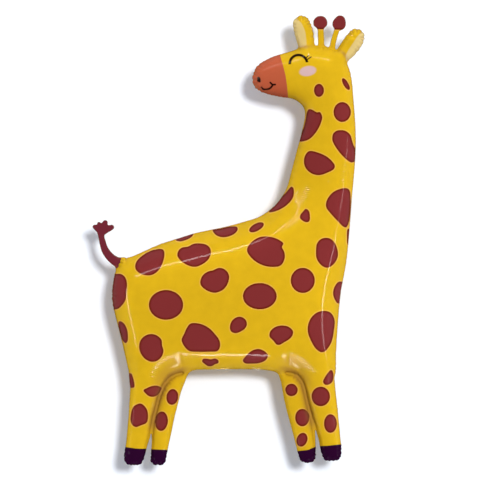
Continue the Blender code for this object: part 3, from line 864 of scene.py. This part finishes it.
place = stored("print_place", "Vector")
flat_place = vectors(tree, "MULTIPLY", place, (1, 1, 0))
hoof_distance, spot_distance = stored("hoof_distance"), stored("spot_distance")
marks = oval_mark(*NOSTRIL)
for mark in (EYELID, SMILE):
    marks = maths(tree, "MINIMUM", marks, arc_mark(*mark))
for start, end, half_width in STROKES:
    line = use_group(tree, stroke, "Distance", Place=flat_place, Start=start, End=end, Half_Width=half_width)
    marks = maths(tree, "MINIMUM", marks, line)


def printed(under, *inks):
    """The colour after some more inks, each as (colour, distance to its shapes, softness, strength)."""
    for ink_colour, distance, softness, strength in inks:
        under = use_group(tree, patch, "Colour", Under=under, Ink=ink_colour, Distance=distance,
                          Softness=softness, Strength=strength)
    return under


mottle = rescale(tree, cloudy(tree, place, MOTTLE_SCALE, 3.0, 0.55), NOISE_LOW, NOISE_HIGH, *MOTTLE)
colour = printed(mix(tree, 1.0, YELLOW, mottle, "MULTIPLY"),
                 (TERRACOTTA, stored("muzzle_distance"), 0.35, 1.0),
                 (EAR_CREAM, stored("ear_distance"), 0.4, 1.0),
                 (SPOT_HALO, maths(tree, "SUBTRACT", spot_distance, HALO_OUT), 0.9, 0.9),
                 (SPOT_RIM, spot_distance, 0.35, 1.0),
                 (SPOT_BROWN, maths(tree, "ADD", spot_distance, SPOT_IN), 1.0, 1.0),
                 (TAIL_BROWN, stored("tail_distance"), 0.35, 1.0),
                 (BLUSH_PINK, oval_mark(*BLUSH), 0.8, 0.95),
                 (LINE_BLACK, marks, 0.4, 1.0))
# Painted brown shade in the creases and puckers, then the dark painted edge, then the hooves over both
colour = printed(mix(tree, stored("painted_crease_shade"), colour, PAINTED_SHADE_BROWN),
                 (BARE_METAL_AND_EDGE_SHADE, maths(tree, "SUBTRACT", stored("edge_distance"), BARE_AND_SHADED_RIM), 0.8, 0.85),
                 (HOOF_PURPLE, hoof_distance, 0.35, 1.0))
tree.links.new(colour, shader.inputs["Base Color"])

# The film's gloss. Hardly any metal shows through the ink. The thin bright lines come from the clear coat,
# and a fine ripple and the rows of buckles break them up.
ripple = cloudy(tree, place, RIPPLE_SCALE, 4.0, 0.6)
buckle = maths(tree, "ARCSINE", maths(tree, "SINE", stored("buckle_turn")))
buckle = maths(tree, "MULTIPLY", buckle, stored("buckle_height"))
for ripple_height, socket in ((RIPPLE_HEIGHT, "Normal"), (COAT_RIPPLE_HEIGHT, "Coat Normal")):
    relief = maths(tree, "MULTIPLY_ADD", ripple, ripple_height, buckle)
    bump = add(tree, "ShaderNodeBump", {"Height": relief, "Strength": 1.0, "Distance": 1.0})
    tree.links.new(bump.outputs[0], shader.inputs[socket])
roughness = rescale(tree, ripple, NOISE_LOW, NOISE_HIGH, *ROUGHNESS)
tree.links.new(roughness, shader.inputs["Roughness"])
tree.links.new(rescale(tree, hoof_distance, -0.5, 0.5, *COAT), shader.inputs["Coat Weight"])
shader.inputs["Metallic"].default_value = 0.01
shader.inputs["Specular IOR Level"].default_value = 0.0
shader.inputs["Coat Roughness"].default_value = 0.05
shader.inputs["Coat IOR"].default_value = 1.5
mesh.materials.append(film)

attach(balloon, "root")
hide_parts("giraffe_balloon")


# The floor is plain white, and runs far enough for low views.
FLOOR_SIZE = 14.0
FLOOR_WHITE = (0.88, 0.92, 0.98, 1)
FLOOR_ROUGHNESS = 0.7
floor_mesh = bpy.data.meshes.new("floor")
half = FLOOR_SIZE / 2
floor_mesh.from_pydata([(-half, -half, 0), (half, -half, 0), (half, half, 0), (-half, half, 0)], [],
                       [(0, 1, 2, 3)])
floor = put_in_scene("floor", floor_mesh)
white = bpy.data.materials.new("floor_white")
white.use_nodes = True
paint = white.node_tree.nodes["Principled BSDF"].inputs
paint["Base Color"].default_value = FLOOR_WHITE
paint["Roughness"].default_value = FLOOR_ROUGHNESS
floor_mesh.materials.append(white)

# The light is a soft key from the upper right, a pale surround, and a strip on each side whose reflection
# draws the thin bright lines along the balloon.
SHADOW_SHIFT = (-0.025, -0.020)    # how far the key throws the shadow of the seam
SUN_STRENGTH = 2.4
SUN_SPREAD = 10.0             # in degrees
SURROUND_TINT = (0.97, 1.0, 1.08, 1)
SURROUND_LOW = 2.5            # brightness of the surround at the horizon
SURROUND_TOP = 0.41           # and overhead
SURROUND_BAND = (0.1, 0.3)    # heights between which it changes, as shares of the way up
SURROUND_GLOSS = 0.03         # what of it the film mirrors

# Strips, as (name, degrees round from +X, degrees from straight up, length, width, brightness)
STRIPS = [
    ("back", 118, 65, 5.4, 0.32, 80.0),
    ("head", 78, 57, 3.6, 0.60, 80.0),
    ("rump", 190, 78, 3.9, 0.26, 80.0),
    ("belly", 270, 87.5, 2.4, 0.34, 110.0),
    ("chest", 350, 79, 2.85, 0.26, 80.0),
]
STRIP_DISTANCE = 6.0
key = put_in_scene("key", bpy.data.lights.new("key", "SUN"))
key.data.energy = SUN_STRENGTH
key.data.angle = math.radians(SUN_SPREAD)
key.rotation_euler = Vector((*SHADOW_SHIFT, -seam)).to_track_quat("-Z", "Y").to_euler()
key.visible_glossy = False
for name, azimuth, from_top, length, width, brightness in STRIPS:
    strip = put_in_scene("strip_" + name, bpy.data.lights.new("strip_" + name, "AREA"))
    strip.data.shape = "RECTANGLE"
    strip.data.size = length
    strip.data.size_y = width
    strip.data.energy = brightness * math.pi * length * width
    turn, tilt = math.radians(azimuth), math.radians(from_top)
    way = Vector((math.cos(turn) * math.sin(tilt), math.sin(turn) * math.sin(tilt), math.cos(tilt)))
    strip.location = Vector((0, 0, seam)) + way * STRIP_DISTANCE
    strip.rotation_euler = (tilt, 0, turn + math.pi / 2)
    strip.visible_diffuse = False
    strip.visible_camera = False
scene.world = bpy.data.worlds.new("surround")
scene.world.use_nodes = True
sky = scene.world.node_tree
way = add(sky, "ShaderNodeTexCoord").outputs["Generated"]
height = add(sky, "ShaderNodeSeparateXYZ", {0: way}).outputs["Z"]
level = rescale(sky, height, *SURROUND_BAND, SURROUND_LOW, SURROUND_TOP)
mirrored = add(sky, "ShaderNodeLightPath").outputs["Is Glossy Ray"]
level = rescale(sky, mirrored, 0.0, 1.0, level, SURROUND_GLOSS)
sky.nodes["Background"].inputs["Color"].default_value = SURROUND_TINT
sky.links.new(level, sky.nodes["Background"].inputs["Strength"])
scene.view_settings.view_transform = "Standard"
